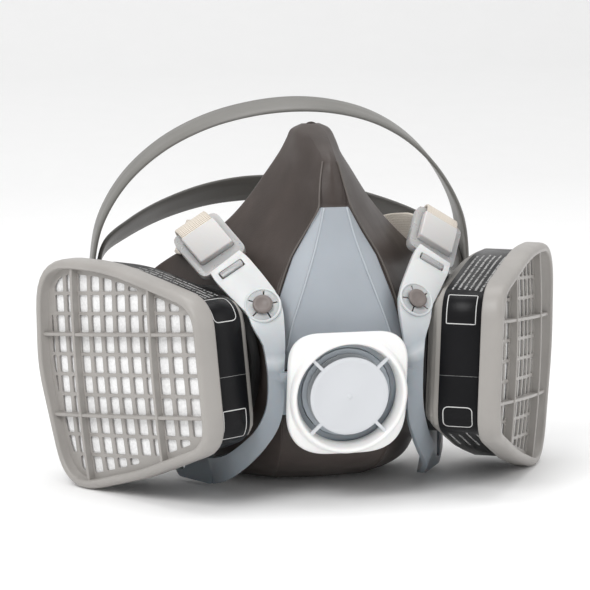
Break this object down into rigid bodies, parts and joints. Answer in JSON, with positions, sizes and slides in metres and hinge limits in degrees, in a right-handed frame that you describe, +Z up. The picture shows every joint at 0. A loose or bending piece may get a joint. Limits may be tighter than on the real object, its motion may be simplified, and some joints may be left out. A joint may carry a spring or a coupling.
{
  "type": "half-face painter's respirator mask",
  "caption": "Half-face painter's respirator with bonded filter cartridges, grilled clip-fit covers, exhalation valve, plastic yoke, buckled elastic straps and a head cradle.",
  "frame": {"origin": "middle of the bounding box at its underside, with the mask standing upright on the rims of its cartridges", "axes": "+X to the wearer's left, -Y out of the front of the mask, +Y towards the wearer's face, +Z up"},
  "size_m": [0.2122, 0.1584, 0.1473],
  "materials": {
    "facepiece_elastomer": "satin moulded elastomer, dark grey brown",
    "front_panel_grey": "satin blue grey",
    "yoke_plastic": "milky translucent light grey",
    "valve_cover_white": "white, soft gloss",
    "valve_seat_blue": "blue grey",
    "valve_flap_grey": "matt grey diaphragm",
    "cartridge_plastic": "warm light grey, satin",
    "filter_pad_white": "white melt-blown fibre",
    "label_black": "glossy black wrap-round band",
    "carbon_granules": "black granules",
    "port_mesh": "fine white scrim",
    "gasket_black": "black, matt",
    "inhalation_rubber": "amber silicone diaphragm",
    "button_brown": "grey brown, satin",
    "buckle_clear": "milky translucent, glossy",
    "elastic_cream": "ribbed woven elastic, cream",
    "cradle_grey": "satin grey",
    "cradle_dark": "satin dark grey",
    "cradle_pin_grey": "satin grey"
  },
  "bodies": {
    "mask": {"facepiece": "facepiece_elastomer", "front_panel": "front_panel_grey", "yoke": "yoke_plastic", "valve_seat": "valve_seat_blue", "valve_cover": "valve_cover_white", "snap_button_left": "button_brown", "snap_button_right": "button_brown", "port_adapter_left": "gasket_black", "port_adapter_right": "gasket_black", "cartridge_body_left": "cartridge_plastic", "cartridge_body_right": "cartridge_plastic", "label_band_left": "label_black", "label_band_right": "label_black", "carbon_bed_left": "carbon_granules", "carbon_bed_right": "carbon_granules", "port_screen_left": "port_mesh", "port_screen_right": "port_mesh", "filter_pad_left": "filter_pad_white", "filter_pad_right": "filter_pad_white"},
    "harness": {"cradle_band_upper": "cradle_grey", "cradle_pin_left": "cradle_pin_grey", "cradle_pin_right": "cradle_pin_grey", "elastic_strap_left": "elastic_cream", "elastic_strap_right": "elastic_cream"},
    "lower_cradle": {"cradle_band_lower": "cradle_dark"},
    "exhalation_flap": {"exhalation_flap": "valve_flap_grey"},
    "buckle_left": {"buckle_left": "buckle_clear"},
    "inhalation_flap_left": {"inhalation_flap_left": "inhalation_rubber"},
    "cartridge_cover_left": {"cartridge_cover_left": "cartridge_plastic"},
    "buckle_right": {"buckle_right": "buckle_clear"},
    "inhalation_flap_right": {"inhalation_flap_right": "inhalation_rubber"},
    "cartridge_cover_right": {"cartridge_cover_right": "cartridge_plastic"}
  },
  "joints": [
    {"name": "harness_lift", "type": "hinge", "parent": "mask", "child": "harness", "pos_m": [0, -0.02458, 0.10137], "axis": [1, 0, 0], "range_deg": [-15, 75], "deforming": ["elastic_strap_left", "elastic_strap_right"]},
    {"name": "cradle_spread", "type": "hinge", "parent": "harness", "child": "lower_cradle", "pos_m": [0, 0.04222, 0.06937], "axis": [1, 0, 0], "range_deg": [-15, 25]},
    {"name": "exhalation_flap_lift", "type": "slide", "parent": "mask", "child": "exhalation_flap", "axis": [0, -0.9925, -0.1219], "range_m": [0, 0.0015], "stiffness_N_per_m": 20},
    {"name": "buckle_left_swing", "type": "hinge", "parent": "mask", "child": "buckle_left", "pos_m": [0.039, -0.04518, 0.08767], "axis": [0.8495, -0.0505, -0.5252], "range_deg": [-10, 12]},
    {"name": "inhalation_flap_left_lift", "type": "slide", "parent": "mask", "child": "inhalation_flap_left", "axis": [-0.866, 0.5, 0], "range_m": [0, 0.0015], "stiffness_N_per_m": 20},
    {"name": "cartridge_cover_left_pull", "type": "slide", "parent": "mask", "child": "cartridge_cover_left", "axis": [0.866, -0.5, 0], "range_m": [0, 0.012]},
    {"name": "buckle_right_swing", "type": "hinge", "parent": "mask", "child": "buckle_right", "pos_m": [-0.039, -0.04518, 0.08767], "axis": [0.8495, 0.0505, 0.5252], "range_deg": [-10, 12]},
    {"name": "inhalation_flap_right_lift", "type": "slide", "parent": "mask", "child": "inhalation_flap_right", "axis": [0.866, 0.5, 0], "range_m": [0, 0.0015], "stiffness_N_per_m": 20},
    {"name": "cartridge_cover_right_pull", "type": "slide", "parent": "mask", "child": "cartridge_cover_right", "axis": [-0.866, -0.5, 0], "range_m": [0, 0.012]}
  ]
}
